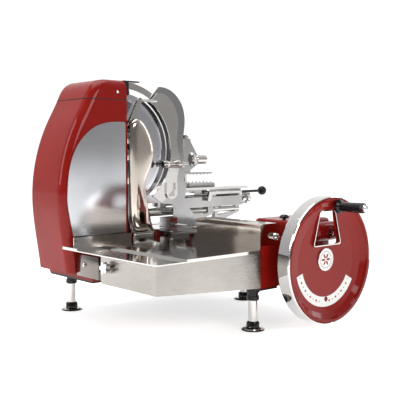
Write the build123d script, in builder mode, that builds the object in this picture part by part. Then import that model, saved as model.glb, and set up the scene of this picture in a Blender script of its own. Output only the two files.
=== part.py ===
from build123d import *
import math
import os

# A hand-driven meat slicer. A flywheel at the operator's right turns the blade and, through a chain,
# moves the meat carriage behind it. +X is the operator's right, +Y points away, +Z is up.
# The floor is z = 0, and the origin is under the middle of the whole machine's box.

# ---- where the plan's own zero lies from the middle of the machine ----
plan_x = -85.75
plan_y = -363.0

# ---- clearances ----
gap = 0.5            # between pieces that move past each other
running = 0.05       # radial, a shaft in its hole
seat = 0.2           # between bolted covers and what they cover

# ---- feet ----
foot_height = 118.0
pad_r = 31.5
pad_h = 9.0
tube_r = 12.9
socket_r = 19.0
socket_h = 22.0
lock_ring_h = 14.0
foot_seat = 20.0
foot_seat_h = 12.0

# ---- base ----
base_bottom = 124.0
base_wall = 8.0
plate_t = base_bottom - foot_height
low_top = 205.0
high_top = 250.0
base_left = -300.0
base_right = 340.0
base_front = 400.0
base_back = 722.0
house_front = 110.0
foot_places = [(31, 134), (base_right - 27, 454), (base_right - 50, 696), (base_left + 92, 696)]
plinth_left = -318.0     # the casing's lower left edge
plinth_inset = 30.0
plinth_front = 512.0
plinth_top = 146.0       # the base under the casing is low
wing_bottom = 142.0      # the base left of the column is raised
wing_floor = 5.0

# ---- arm and its polished cover ----
arm_left = 9.0
arm_w = 72.0
arm_front = 86.0
arm_red_top = 241.0
cover_top = 300.0
cover_back = 345.0
cover_side_z = 231.0
cover_t = 2.0

# ---- housing over the flywheel's bearing ----
housing_left = 150.0
housing_back = 250.0
housing_top = 298.0
lock_x = 175.0
lock_y = 150.0
lock_stem_r = 5.0
lock_knob_r = 14.0

# ---- flywheel ----
wheel_x = 209.5
wheel_z = 192.0
wheel_r = 180.0
wheel_w = 45.0
rim_t = 5.0
shaft_r = 10.0
shaft_back = 649.0
window_top_r = wheel_r - 40
window_low_r = 40.0
window_top_w = 66.0
window_low_w = 122.0
badge_r = 31.0
badge_t = 3.0
grip_x = 24.0
grip_z = wheel_r - 30
grip_r = 14.5
grip_len = 88.0
grip_flange_y = 0.0
pin_r = 6.0

# ---- bearings, all one size ----
bearing_r = 21.0
bearing_w = 8.0
boss_half = 30.0
boss_t = 14.0
wheel_boss_y = (110.0, 596.0)
lay_boss_y = (434.0, 496.0)
blade_bearing_y = (526.0, 544.0)

# ---- chain drives ----
chain_t = 5.0
chain_w = 6.0
chain_gap = 0.4
chain_room = 1.5
drive_r = 40.0
drive_teeth = 32
lay_small_r = 20.0
lay_small_teeth = 16
lay_large_r = 26.0
lay_large_teeth = 26
blade_gear_r = 16.0
blade_gear_teeth = 16
lay_x = -40.0
lay_z = 165.0
lay_front = 430.0
base_chain_y = 466.0
idler_x = 72.0
carriage_chain_y = 644.0
idler_boss_y = 618.0
driver_x = 250.0
driver_y = 656.0
driver_w = 24.0
driver_low = 142.0
driver_slot_left = 20.0
driver_slot_right = 266.0
deck_t = 2.0

# ---- blade ----
blade_x = -112.0
blade_z = 499.0
blade_r = 175.0
blade_y = 556.0
blade_t = 4.0
column_front = 525.0
column_back = 553.0
column_left = -86.0
column_right = -6.0
hub_r = 58.0
blade_chain_y = 539.0
cover_left = blade_x
cover_depth = 18.0
collar_h = 44.0
ear_low = 334.0
ear_high = 360.0
lug_x = -102.0
lug_z = 572.0

# ---- guard and gauge ----
guard_y = 540.0
guard_t = 3.0
guard_r = 178.0
gauge_y = 560.5
gauge_t = 4.0
screw_x = 59.0
screw_z = 264.0
screw_r = 6.0
knob_r = 11.0
support_left = 98.0
support_low = 253.0
support_top = 408.0
handle_x = 19.0
handle_z = 456.0
handle_r = 13.0
handle_off = 16.0
latch_x = 66.0
latch_z = 370.0

# ---- casing ----
case_front = 520.0
case_depth = 185.0
case_wall = 3.0
case_right = -118.0
case_bulge = -342.0
case_bulge_z = 380.0
shoulder_x = -315.0
shoulder_z = 521.0
cap_low_x = -284.0
cap_low_z = 592.0
cap_line_x = -254.0
cap_line_z = 648.0
cap_top_x = -178.0
case_top = 709.0
case_front_r = 28.0
case_back_r = 16.0
window_bottom = 242.0
panel_t = 2.0

# ---- carriage ----
rail_z = 294.0
rail_r = 9.0
bracket_top = rail_z + rail_r + 1
bush_half = rail_r + 4
bush_w = 26.0
rail_left = -100.0
rail_right = 430.0
rail_front = 604.0
rail_rear = 700.0
frame_left = 132.0
frame_right = 438.0
frame_low = rail_z + rail_r + 3
frame_top = 340.0
frame_front = 587.0
frame_back = 722.0
table_left = 130.0
table_right = 462.0
table_front = 580.0
table_back = 806.0
table_z = 366.0
table_t = 8.0
feed_x = 300.0
feed_z = 353.0
feed_r = 6.0
feed_end = 824.0
post_x = 228.0
post_y = 660.0
post_r = 8.0
post_top = 556.0
press_top = 540.0
press_z = 418.0
knob_axis_z = 468.0
ball_x = 524.0
ball_r = 16.5
lever_x = 262.0
lever_y = 570.5
lever_z = 354.0
star_z = 329.0
star_r = 21.0

# ---- tray ----
tray_left = -353.0
tray_right = 6.5
tray_front = 79.0
tray_back = 503.0
tray_z = 226.0
tray_t = 3.0
lip_h = 5.0
box_depth = 234.0
box_low = 150.0
box_deep = 126.0
box_t = 2.0
knob_y = 279.0
knob_z = 197.0


def at(x, y, z=0.0):
    """A point of the machine's plan, moved to the machine's own origin."""
    return (x + plan_x, y + plan_y, z)


def front(y, x=0.0, z=0.0):
    """A plane seen by the operator: sketch x is +X, sketch y is +Z, and extrude comes forward."""
    return Plane(origin=at(x, y, z), x_dir=(1, 0, 0), z_dir=(0, -1, 0))


def level(z, x=0.0, y=0.0):
    """A level plane: sketch x is +X, sketch y is +Y, and extrude goes up."""
    return Plane(origin=at(x, y, z), x_dir=(1, 0, 0), z_dir=(0, 0, 1))


def side(x, y=0.0, z=0.0):
    """A plane seen from the machine's right: sketch x is +Y, sketch y is +Z, extrude goes to +X."""
    return Plane(origin=at(x, y, z), x_dir=(0, 1, 0), z_dir=(1, 0, 0))


def spindle_y(x, y, z):
    """For turned pieces on an axis along +Y: sketch x is the radius and sketch y runs along +Y."""
    return Plane(origin=at(x, y, z), x_dir=(1, 0, 0), z_dir=(0, 0, 1))


def spindle_x(x, y, z):
    """For turned pieces on an axis along +X: sketch x is the radius and sketch y runs along +X."""
    return Plane(origin=at(x, y, z), x_dir=(0, 1, 0), z_dir=(0, 0, -1))


def spindle_z(x, y, z):
    """For turned pieces on an upright axis: sketch x is the radius and sketch y runs up."""
    return Plane(origin=at(x, y, z), x_dir=(1, 0, 0), z_dir=(0, -1, 0))


def turned(plane, *profile):
    """A solid of revolution from a closed profile of (radius, along) points."""
    with BuildPart() as piece:
        with BuildSketch(plane):
            with BuildLine():
                Polyline(*profile, close=True)
            make_face()
        revolve(axis=Axis(plane.origin, plane.y_dir))
    return piece.part


def ring(plane, inner, outer, length):
    """A plain bush: a tube of the given radii and length."""
    return turned(plane, (inner, 0), (outer, 0), (outer, length), (inner, length))


def block(x0, x1, y0, y1, z0, z1):
    """A box between two corners of the plan."""
    with BuildPart() as piece:
        with BuildSketch(level(z0)):
            with Locations(((x0 + x1) / 2, (y0 + y1) / 2)):
                Rectangle(x1 - x0, y1 - y0)
        extrude(amount=z1 - z0)
    return piece.part


def group(name, solids):
    """Several separate solids of one kind, kept in one node."""
    return Compound(label=name, children=list(solids))


def write(piece, name):
    """Label a finished piece and write its STEP file."""
    piece.label = name
    export_step(piece, f"parts/{name}.step")


def sprocket(plane, tip_r, teeth, width, bore_r):
    """A chain wheel: a disc with a notch between each two teeth."""
    with BuildPart() as piece:
        with BuildSketch(plane):
            Circle(tip_r)
            Circle(bore_r, mode=Mode.SUBTRACT)
            with PolarLocations(tip_r, teeth):
                Circle(math.pi * tip_r / teeth * 0.55, mode=Mode.SUBTRACT)
        extrude(amount=width)
    return piece.part


def belt(y_back, depth, wheel_a, wheel_b, outer, inner=None):
    """A closed belt round two wheels, given as (x, z, radius), or a full slab without an inner face."""
    dx = wheel_b[0] - wheel_a[0]
    dz = wheel_b[1] - wheel_a[1]
    span = math.hypot(dx, dz)
    lean = math.acos((wheel_a[2] - wheel_b[2]) / span)
    plane = Plane(origin=at(wheel_a[0], y_back, wheel_a[1]), x_dir=(dx, 0, dz), z_dir=(0, -1, 0))
    faces = [(outer, Mode.ADD)] if inner is None else [(outer, Mode.ADD), (inner, Mode.SUBTRACT)]
    with BuildPart() as piece:
        with BuildSketch(plane):
            for grow, mode in faces:
                ra = wheel_a[2] + grow
                rb = wheel_b[2] + grow
                a1 = (ra * math.cos(lean), ra * math.sin(lean))
                b1 = (span + rb * math.cos(lean), rb * math.sin(lean))
                with BuildLine():
                    Line(a1, b1)
                    ThreePointArc(b1, (span + rb, 0), (b1[0], -b1[1]))
                    Line((b1[0], -b1[1]), (a1[0], -a1[1]))
                    ThreePointArc((a1[0], -a1[1]), (-ra, 0), a1)
                make_face(mode=mode)
        extrude(amount=depth)
    return piece.part


def chain(y, width, wheel_a, wheel_b):
    """A closed chain of even thickness that lies just outside the teeth of two wheels."""
    return belt(y + width / 2, width, wheel_a, wheel_b, chain_gap + chain_t, chain_gap)


os.makedirs("parts", exist_ok=True)

# ------------------------------------------------------------------ feet
sockets = []
tubes = []
pads = []
for foot_x, foot_y in foot_places:
    sockets.append(turned(
        spindle_z(foot_x, foot_y, foot_height - socket_h),
        (tube_r + running, 0), (socket_r - 4, 0), (socket_r - 4, socket_h / 2), (socket_r, socket_h / 2),
        (socket_r, socket_h), (tube_r + running, socket_h),
    ))
    tubes.append(turned(
        spindle_z(foot_x, foot_y, pad_h),
        (0, 0), (tube_r + 3, 0), (tube_r + 3, lock_ring_h), (tube_r, lock_ring_h + 2),
        (tube_r, foot_height - pad_h), (0, foot_height - pad_h),
    ))
    pads.append(turned(
        spindle_z(foot_x, foot_y, 0),
        (0, 0), (pad_r, 0), (pad_r, 4), (pad_r - 3, 7), (tube_r + 4, pad_h), (0, pad_h),
    ))
write(group("foot_sockets", sockets), "foot_sockets")
write(group("foot_tubes", tubes), "foot_tubes")
write(group("foot_pads", pads), "foot_pads")

# ------------------------------------------------------------------ base
with BuildPart() as base_casting:
    add(block(base_left, case_right + 10, base_front, plinth_front, wing_bottom, low_top))
    add(block(base_left + plinth_inset, base_right, plinth_front - plinth_inset, base_back, base_bottom,
              plinth_top))
    add(block(case_right + 1, base_right, base_front, base_back, base_bottom, low_top))
    add(block(arm_left, base_right, house_front, base_back, base_bottom, high_top))
    fillet(base_casting.edges().filter_by(Axis.Z).group_by(Axis.X)[-1], 14)
    add(block(arm_left, arm_left + arm_w, arm_front, house_front + 40, base_bottom, arm_red_top))
    # hollow from below
    room_left = base_left + base_wall
    room_right = base_right - base_wall
    room_front = base_front + base_wall
    room_back = base_back - base_wall
    add(block(room_left, case_right + 20, room_front, plinth_front - base_wall, wing_bottom + wing_floor,
              low_top - base_wall), mode=Mode.SUBTRACT)
    add(block(room_left + plinth_inset, room_right, plinth_front + base_wall - plinth_inset, room_back,
              base_bottom, plinth_top - base_wall), mode=Mode.SUBTRACT)
    add(block(case_right + 1 + base_wall, room_right, room_front, room_back, base_bottom,
              low_top - base_wall), mode=Mode.SUBTRACT)
    add(block(arm_left + base_wall, room_right, house_front + base_wall, room_back, base_bottom,
              high_top - base_wall), mode=Mode.SUBTRACT)
    # bosses for the bearings, hanging from the top
    for boss_y in wheel_boss_y:
        add(block(wheel_x - boss_half, wheel_x + boss_half, boss_y, boss_y + boss_t, wheel_z - boss_half,
                  high_top))
    for boss_y in lay_boss_y:
        add(block(lay_x - boss_half, lay_x + boss_half, boss_y, boss_y + boss_t, lay_z - boss_half, low_top))
    # foot seats inside the corners
    for foot_x, foot_y in foot_places:
        add(block(foot_x - foot_seat, foot_x + foot_seat, foot_y - foot_seat, foot_y + foot_seat,
                  base_bottom, base_bottom + foot_seat_h))
    # shaft holes
    for boss_y in wheel_boss_y:
        with BuildSketch(front(boss_y + boss_t, wheel_x, wheel_z)):
            Circle(bearing_r)
        extrude(amount=bearing_w, mode=Mode.SUBTRACT)
        with BuildSketch(front(boss_y + boss_t + 2, wheel_x, wheel_z)):
            Circle(shaft_r + 3)
        extrude(amount=boss_t + 12, mode=Mode.SUBTRACT)
    for boss_y in lay_boss_y:
        with BuildSketch(front(boss_y + boss_t, lay_x, lay_z)):
            Circle(bearing_r)
        extrude(amount=bearing_w, mode=Mode.SUBTRACT)
        with BuildSketch(front(boss_y + boss_t + 2, lay_x, lay_z)):
            Circle(shaft_r + 3)
        extrude(amount=boss_t + 4, mode=Mode.SUBTRACT)
    # boss and stub axle of the idler
    add(block(idler_x - boss_half, idler_x + boss_half, idler_boss_y, idler_boss_y + boss_t,
              wheel_z - boss_half, high_top))
    with BuildSketch(front(shaft_back, idler_x, wheel_z)):
        Circle(shaft_r)
    extrude(amount=shaft_back - idler_boss_y - boss_t)
    # ways through for the two chains, and the slot for the carriage driver
    add(block(column_left + 6, column_right - 6, column_front + 4, column_back - 4, low_top - base_wall - 1,
              low_top + 1), mode=Mode.SUBTRACT)
    add(block(-30, arm_left + base_wall + 1, base_chain_y - 10, base_chain_y + 10, 185, low_top + 8),
        mode=Mode.SUBTRACT)
    add(block(driver_slot_left, driver_slot_right, driver_y - 8, driver_y + 8, high_top - base_wall - 1,
              high_top + 1), mode=Mode.SUBTRACT)
write(base_casting.part, "base_casting")

with BuildPart() as base_plate:
    add(block(base_left + plinth_inset + 2, base_right - 2, plinth_front + 2 - plinth_inset, base_back - 2,
              foot_height, base_bottom))
    add(block(case_right + 3, base_right - 2, base_front + 2, base_back - 2, foot_height, base_bottom))
    add(block(arm_left + 2, base_right - 2, house_front + 2, base_front + 2, foot_height, base_bottom))
    add(block(arm_left + 2, arm_left + arm_w - 2, arm_front + 2, house_front + 2, foot_height, base_bottom))
write(base_plate.part, "base_plate")

with BuildPart() as deck_plate:
    add(block(arm_left - deck_t, base_right - 4, cover_back + seat, base_back - 4, high_top,
              high_top + deck_t))
    add(block(arm_left - deck_t, arm_left, cover_back + seat, column_front - 6, cover_side_z, high_top + 1))
    add(block(driver_slot_left, driver_slot_right, driver_y - 8, driver_y + 8, high_top - 1,
              high_top + deck_t + 1), mode=Mode.SUBTRACT)
write(deck_plate.part, "deck_plate")

with BuildPart() as arm_cover:
    add(block(arm_left - cover_t, arm_left + arm_w + cover_t, arm_front - cover_t, cover_back,
              arm_red_top, cover_top))
    fillet(arm_cover.edges().filter_by(Axis.Y).group_by(Axis.Z)[-1], 12)
    add(block(arm_left, arm_left + arm_w, arm_front, cover_back + 1, arm_red_top - 1, cover_top - 12),
        mode=Mode.SUBTRACT)
    add(block(arm_left + 10, arm_left + arm_w - 10, arm_front, cover_back + 1, cover_top - 13,
              cover_top - cover_t), mode=Mode.SUBTRACT)
    add(block(arm_left - 1, arm_left + arm_w + cover_t + 1, house_front - seat, cover_back + 1,
              arm_red_top - 1, high_top + seat), mode=Mode.SUBTRACT)
    add(block(arm_left - cover_t, arm_left, arm_front - cover_t, cover_back, cover_side_z, high_top + 1))
    with BuildSketch(front(arm_front + 1, screw_x, screw_z)):
        Circle(screw_r + 1)
    extrude(amount=cover_t + 2, mode=Mode.SUBTRACT)
write(arm_cover.part, "arm_cover")

with BuildPart() as wheel_housing:
    add(block(housing_left, base_right, house_front, housing_back, high_top, housing_top))
    fillet(wheel_housing.edges().filter_by(Axis.Z), 14)
    fillet(wheel_housing.faces().sort_by(Axis.Z)[-1].edges(), 12)
    add(block(housing_left + 5, base_right - 5, house_front + 5, housing_back - 5, high_top - 1,
              housing_top - 5), mode=Mode.SUBTRACT)
    with BuildSketch(level(housing_top - 6, lock_x, lock_y)):
        Circle(lock_stem_r + running)
    extrude(amount=8, mode=Mode.SUBTRACT)
write(wheel_housing.part, "wheel_housing")

lock_knob = turned(
    spindle_z(lock_x, lock_y, housing_top - 14),
    (0, 0), (lock_stem_r, 0), (lock_stem_r, 17), (lock_knob_r, 19), (lock_knob_r, 24),
    (lock_knob_r - 5, 29), (0, 30),
)
write(lock_knob, "lock_knob")

# ------------------------------------------------------------------ bearings
bearings = []
for boss_y in wheel_boss_y:
    bearings.append(ring(spindle_y(wheel_x, boss_y + boss_t - bearing_w, wheel_z), shaft_r + running,
                         bearing_r, bearing_w))
for boss_y in lay_boss_y:
    bearings.append(ring(spindle_y(lay_x, boss_y + boss_t - bearing_w, lay_z), shaft_r + running,
                         bearing_r, bearing_w))
for bearing_y in blade_bearing_y:
    bearings.append(ring(spindle_y(blade_x, bearing_y, blade_z), shaft_r + running, bearing_r, bearing_w))
write(group("ball_bearings", bearings), "ball_bearings")

# ------------------------------------------------------------------ flywheel
wheel_plane = spindle_y(wheel_x, 0, wheel_z)
disc_r = wheel_r - rim_t
with BuildPart() as flywheel:
    add(turned(
        wheel_plane,
        (shaft_r, 26), (badge_r + 1, 26), (60, 25), (wheel_r - 60, 22), (wheel_r - 30, 17), (wheel_r - 16, 8),
        (wheel_r - 12, 1), (disc_r - 2, 1),
        (disc_r, 4), (disc_r, wheel_w - 1), (disc_r - 6, wheel_w - 1), (disc_r - 8, 30), (wheel_r - 30, 28),
        (wheel_r - 60, 32),
        (34, 36), (30, 54), (shaft_r, 54),
    ))
    with BuildSketch(front(60, wheel_x, wheel_z)) as window:
        with BuildLine():
            Polyline((-window_low_w / 2, window_low_r), (window_low_w / 2, window_low_r),
                     (window_top_w / 2, window_top_r), (-window_top_w / 2, window_top_r), close=True)
        make_face()
        fillet(window.vertices(), 9)
    extrude(amount=60, mode=Mode.SUBTRACT)
    with BuildSketch(front(30, wheel_x + grip_x, wheel_z + grip_z)):
        Circle(pin_r + 7)
    extrude(amount=24)
    with BuildSketch(front(60, wheel_x + grip_x, wheel_z + grip_z)):
        Circle(pin_r)
    extrude(amount=60, mode=Mode.SUBTRACT)
write(flywheel.part, "flywheel")

flywheel_rim = turned(wheel_plane, (disc_r, 3), (disc_r + 2, 0.5), (wheel_r - 1, 2), (wheel_r, 6),
                      (wheel_r, wheel_w - 4), (wheel_r - 2, wheel_w), (disc_r, wheel_w))
write(flywheel_rim, "flywheel_rim")

wheel_badge = turned(spindle_y(wheel_x, 26 - badge_t, wheel_z), (0, 0), (badge_r - 2, 0), (badge_r, 1),
                     (badge_r, badge_t), (0, badge_t))
write(wheel_badge, "wheel_badge")

flywheel_shaft = turned(wheel_plane, (0, 26), (shaft_r, 26), (shaft_r, shaft_back), (0, shaft_back))
write(flywheel_shaft, "flywheel_shaft")

grip_plane = spindle_y(wheel_x + grip_x, 0, wheel_z + grip_z)
grip_front = grip_flange_y - grip_len
handle_pin = turned(
    grip_plane,
    (0, grip_front - 10), (6, grip_front - 9), (grip_r - 3, grip_front - 5), (grip_r - 3, grip_front - gap),
    (pin_r - 1, grip_front - gap), (pin_r - 1, grip_flange_y), (pin_r + 6, grip_flange_y), (pin_r + 6, 6),
    (pin_r, 6), (pin_r, 30), (0, 30),
)
write(handle_pin, "handle_pin")

pin_bore = pin_r - 1 + running
handle_grip = turned(
    grip_plane,
    (pin_bore, grip_flange_y - gap), (grip_r + 5, grip_flange_y - gap), (grip_r + 5, grip_flange_y - 7),
    (grip_r - 2, grip_flange_y - 12), (grip_r - 1, grip_flange_y - 40), (grip_r, grip_front + 6),
    (grip_r - 1, grip_front), (pin_bore, grip_front),
)
write(handle_grip, "handle_grip")

# ------------------------------------------------------------------ chain drives
drive_plane = front(base_chain_y + 4, wheel_x, wheel_z)
carriage_plane = front(carriage_chain_y + 4, wheel_x, wheel_z)
drive_wheels = [sprocket(plane, drive_r, drive_teeth, 8, shaft_r) for plane in (drive_plane, carriage_plane)]
write(group("drive_sprockets", drive_wheels), "drive_sprockets")
idler_plane = front(carriage_chain_y + 4, idler_x, wheel_z)
write(sprocket(idler_plane, drive_r, drive_teeth, 8, shaft_r + running), "idler_sprocket")
lay_small = sprocket(front(base_chain_y + 4, lay_x, lay_z), lay_small_r, lay_small_teeth, 8, shaft_r)
write(lay_small, "layshaft_small_sprocket")
lay_large = sprocket(front(blade_chain_y + 4, lay_x, lay_z), lay_large_r, lay_large_teeth, 8, shaft_r)
write(lay_large, "layshaft_large_sprocket")
blade_gear = sprocket(front(blade_chain_y + 4, blade_x, blade_z), blade_gear_r, blade_gear_teeth, 8, shaft_r)
write(blade_gear, "blade_sprocket")

layshaft = turned(spindle_y(lay_x, 0, lay_z), (0, lay_front), (shaft_r, lay_front),
                  (shaft_r, blade_chain_y + 8), (0, blade_chain_y + 8))
write(layshaft, "layshaft")

drive_end = (wheel_x, wheel_z, drive_r)
write(chain(base_chain_y, chain_w, drive_end, (lay_x, lay_z, lay_small_r)), "base_chain")
write(chain(carriage_chain_y, chain_w, drive_end, (idler_x, wheel_z, drive_r)), "carriage_chain")
blade_end = (blade_x, blade_z, blade_gear_r)
lay_end = (lay_x, lay_z, lay_large_r)
write(chain(blade_chain_y, chain_w, lay_end, blade_end), "blade_chain")

# ------------------------------------------------------------------ blade column, blade and guard
with BuildPart() as blade_column:
    with BuildSketch(front(column_back)) as column_face:
        with Locations((blade_x, blade_z)):
            Circle(hub_r)
        with BuildLine():
            Polyline((column_left, low_top), (column_right, low_top), (column_right - 13, 262),
                     (column_right - 30, 330), (column_right - 42, 380), (blade_x + hub_r, blade_z - 20),
                     (blade_x - hub_r + 4, blade_z - 20), close=True)
        make_face()
    extrude(amount=column_back - column_front)
    # ear that carries the guard's lower end, and lug of the sharpener's lever
    add(block(-46, 14, guard_y, guard_y + 10, ear_low, ear_high))
    add(block(lug_x - 10, lug_x + 10, column_front + 11, column_back, blade_z + hub_r - 12, lug_z + 12))
    add(belt(blade_chain_y + 5, 10, lay_end, blade_end, chain_gap + chain_t + chain_room), mode=Mode.SUBTRACT)
    with BuildSketch(front(column_back + 1, lug_x, lug_z)):
        Circle(5 + running)
    extrude(amount=column_back - column_front, mode=Mode.SUBTRACT)
    for bearing_y in blade_bearing_y:
        with BuildSketch(front(bearing_y + bearing_w, blade_x, blade_z)):
            Circle(bearing_r)
        extrude(amount=bearing_w, mode=Mode.SUBTRACT)
    with BuildSketch(front(column_back + 1, blade_x, blade_z)):
        Circle(shaft_r + 3)
    extrude(amount=column_back - column_front + 2, mode=Mode.SUBTRACT)
write(blade_column.part, "blade_column")

with BuildPart() as hub_cover:
    with BuildSketch(front(column_front - seat)):
        with BuildLine():
            cover_edge = Spline(
                (cover_left, 572), (blade_x + 32, 594), (blade_x + 66, 560), (blade_x + 85, 500),
                (blade_x + 78, 448), (blade_x + 64, 405), (blade_x + 68, 360), (blade_x + 71, 279),
            )
            Line(cover_edge @ 1, (blade_x + 86, low_top + collar_h + 12))
            Line((blade_x + 86, low_top + collar_h + 12), (blade_x + 86, low_top + collar_h))
            Line((blade_x + 86, low_top + collar_h), (cover_left + 9, low_top + collar_h))
            Line((cover_left + 9, low_top + collar_h), cover_edge @ 0)
        make_face()
    extrude(amount=cover_depth)
    add(block(cover_left + 8, blade_x + 88, column_front - seat - cover_depth - 1.5, column_front - seat,
              low_top, low_top + collar_h))
write(hub_cover.part, "hub_cover")

blade = turned(
    spindle_y(blade_x, blade_y, blade_z),
    (shaft_r, 0), (55, 0), (60, 1), (blade_r - 26, 1), (blade_r, blade_t - 0.6), (blade_r, blade_t),
    (shaft_r, blade_t),
)
write(blade, "blade")

blade_shaft = turned(
    spindle_y(blade_x, 0, blade_z),
    (0, column_front + 1), (shaft_r, column_front + 1), (shaft_r, blade_y + blade_t),
    (30, blade_y + blade_t), (30, blade_y + blade_t + 3), (0, blade_y + blade_t + 4),
)
write(blade_shaft, "blade_shaft")


def round_blade(radius, degrees):
    """A point at a radius and angle round the blade's axis."""
    turn = math.radians(degrees)
    return (blade_x + radius * math.cos(turn), blade_z + radius * math.sin(turn))


def from_blade(points):
    """Points given from the blade's axis, moved to the plan."""
    return [(blade_x + x, blade_z + z) for x, z in points]


guard_edge = from_blade([
    (124, 179), (160, 173), (190, 146), (206, 111), (208, 74), (203, 34), (208, 2), (213, -31),
    (208, -71), (202, -111),
])
gauge_edge = from_blade([
    (148, 201), (184, 197), (219, 178), (247, 141), (255, 84), (247, 18), (257, -60), (252, -93),
])


with BuildPart() as blade_guard:
    with BuildSketch(front(guard_y)):
        with BuildLine():
            top_in = round_blade(guard_r, 58)
            low_in = round_blade(guard_r, -54)
            Line(top_in, guard_edge[0])
            Spline(*guard_edge)
            Line(guard_edge[-1], (low_in[0] + 38, low_in[1] - 22))
            Line((low_in[0] + 38, low_in[1] - 22), low_in)
            ThreePointArc(low_in, (blade_x + guard_r, blade_z), top_in)
        make_face()
    extrude(amount=guard_t)
    # bearer of the handle and U-shaped latch, welded to the front
    bearer_x = handle_x + 72
    add(block(bearer_x, bearer_x + 12, guard_y - guard_t - handle_off - 9, guard_y - guard_t,
              handle_z - 11, handle_z + 11))
    with BuildSketch(side(bearer_x - 1, guard_y - guard_t - handle_off, handle_z)):
        Circle(5 + running)
    extrude(amount=14, mode=Mode.SUBTRACT)
    with BuildSketch(front(guard_y - guard_t, latch_x, latch_z)) as latch_face:
        Rectangle(44, 52)
        fillet(latch_face.vertices().group_by(Axis.Y)[0], 20)
        with Locations((0, 6)):
            Rectangle(28, 44, mode=Mode.SUBTRACT)
    extrude(amount=6)
write(blade_guard.part, "blade_guard")

guard_handle = turned(
    spindle_x(handle_x, guard_y - guard_t - handle_off, handle_z),
    (0, 0), (handle_r - 3, 0), (handle_r, 3), (handle_r, 14), (handle_r - 4, 24), (handle_r - 3, 44),
    (handle_r, 56), (handle_r, 68), (5, 70), (5, 104), (0, 104),
)
write(guard_handle, "guard_handle")

# ------------------------------------------------------------------ gauge plate and its drive
with BuildPart() as gauge_plate:
    with BuildSketch(front(gauge_y + gauge_t)):
        with BuildLine():
            top_in = round_blade(blade_r + 5, 56)
            low_in = round_blade(blade_r + 5, -40)
            Line(top_in, gauge_edge[0])
            Spline(*gauge_edge)
            Line(gauge_edge[-1], low_in)
            ThreePointArc(low_in, (blade_x + blade_r + 5, blade_z), top_in)
        make_face()
    extrude(amount=gauge_t)
write(gauge_plate.part, "gauge_plate")

with BuildPart() as gauge_support:
    support_y = gauge_y + gauge_t
    with BuildSketch(front(support_y + gauge_t)):
        with BuildLine():
            low_left = (support_left, support_low)
            Line(low_left, (support_left, support_top))
            Line((support_left, support_top), (134, support_top))
            Spline((134, support_top), (150, 356), (146, 330), (182, 292), (190, 262), (191, support_low))
            Line((191, support_low), low_left)
        make_face()
    extrude(amount=gauge_t)
    add(block(screw_x - 16, screw_x + 16, gauge_y - 44, gauge_y, support_low, screw_z + 22))
    add(block(screw_x - 16, support_left + 6, gauge_y - 6, support_y + gauge_t, support_low, screw_z + 22))
    with BuildSketch(front(support_y + gauge_t + 1, screw_x, screw_z)):
        Circle(screw_r + running)
    extrude(amount=60, mode=Mode.SUBTRACT)
write(gauge_support.part, "gauge_support")

thickness_screw = turned(
    spindle_y(screw_x, 0, screw_z),
    (0, arm_front - 20), (5, arm_front - 19), (9, arm_front - 15), (knob_r, arm_front - 9),
    (knob_r, arm_front - cover_t - gap), (screw_r, arm_front - cover_t - gap), (screw_r, gauge_y - 2),
    (0, gauge_y - 2),
)
write(thickness_screw, "thickness_screw")

# ------------------------------------------------------------------ casing


def casing_form(inset, reach):
    """The body's outer form, or with an inset its hollow: bulging left edge, level top, rounded edges."""
    with BuildPart() as form:
        with BuildSketch(front(case_front + case_depth - inset)):
            with BuildLine():
                top = case_top - inset
                bulge = Spline(
                    (plinth_left + inset, plinth_top - reach), (case_bulge + inset, case_bulge_z),
                    (shoulder_x + inset, shoulder_z), (cap_low_x + inset, cap_low_z),
                    (cap_line_x + inset, cap_line_z), (cap_top_x + inset, top), tangents=((-0.12, 1), (1, 0.02)),
                )
                Line(bulge @ 1, (case_right + reach, top))
                Line((case_right + reach, top), (case_right + reach, plinth_top - reach))
                Line((case_right + reach, plinth_top - reach), bulge @ 0)
            make_face()
        extrude(amount=case_depth - 2 * inset)
        left_edges = form.edges().filter_by(GeomType.BSPLINE)
        fillet(left_edges.group_by(Axis.Y)[-1], case_back_r - inset)
        fillet(form.edges().filter_by(GeomType.BSPLINE).sort_by(Axis.Y)[0], case_front_r - inset)
    return form.part


with BuildPart() as casing:
    add(casing_form(0, 0))
    add(casing_form(case_wall, 1), mode=Mode.SUBTRACT)

with BuildPart() as casing_shell:
    add(casing.part)
    split(bisect_by=level(cap_line_z), keep=Keep.BOTTOM)
write(casing_shell.part, "casing_shell")

with BuildPart() as casing_cap:
    add(casing.part)
    split(bisect_by=level(cap_line_z + seat), keep=Keep.TOP)
write(casing_cap.part, "casing_cap")

with BuildPart() as front_panel:
    with BuildSketch(front(case_front)) as panel_face:
        with BuildLine():
            low_left = (-306, window_bottom)
            low_right = (case_right - 6, window_bottom)
            top_right = (case_right - 6, 584)
            Line(low_left, low_right)
            Line(low_right, top_right)
            Spline(top_right, (-180, 582), (-219, 573), (-270, 539), (-313, 466), (-326, 376), low_left,
                   tangents=((-1, 0), (0.2, -1)))
        make_face()
        fillet(panel_face.vertices().group_by(Axis.X)[-1], 8)
    extrude(amount=panel_t)
write(front_panel.part, "front_panel")

# ------------------------------------------------------------------ sharpener
with BuildPart() as sharpener_cover:
    add(block(case_right, -59, 534, 598, case_top - 4, case_top))
    add(block(case_right, -99.5, 570, 596, blade_z + blade_r - 8, case_top - 4))
    add(block(case_right, -99.5, 534, 546, blade_z + blade_r - 8, case_top - 4))
write(sharpener_cover.part, "sharpener_cover")

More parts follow.
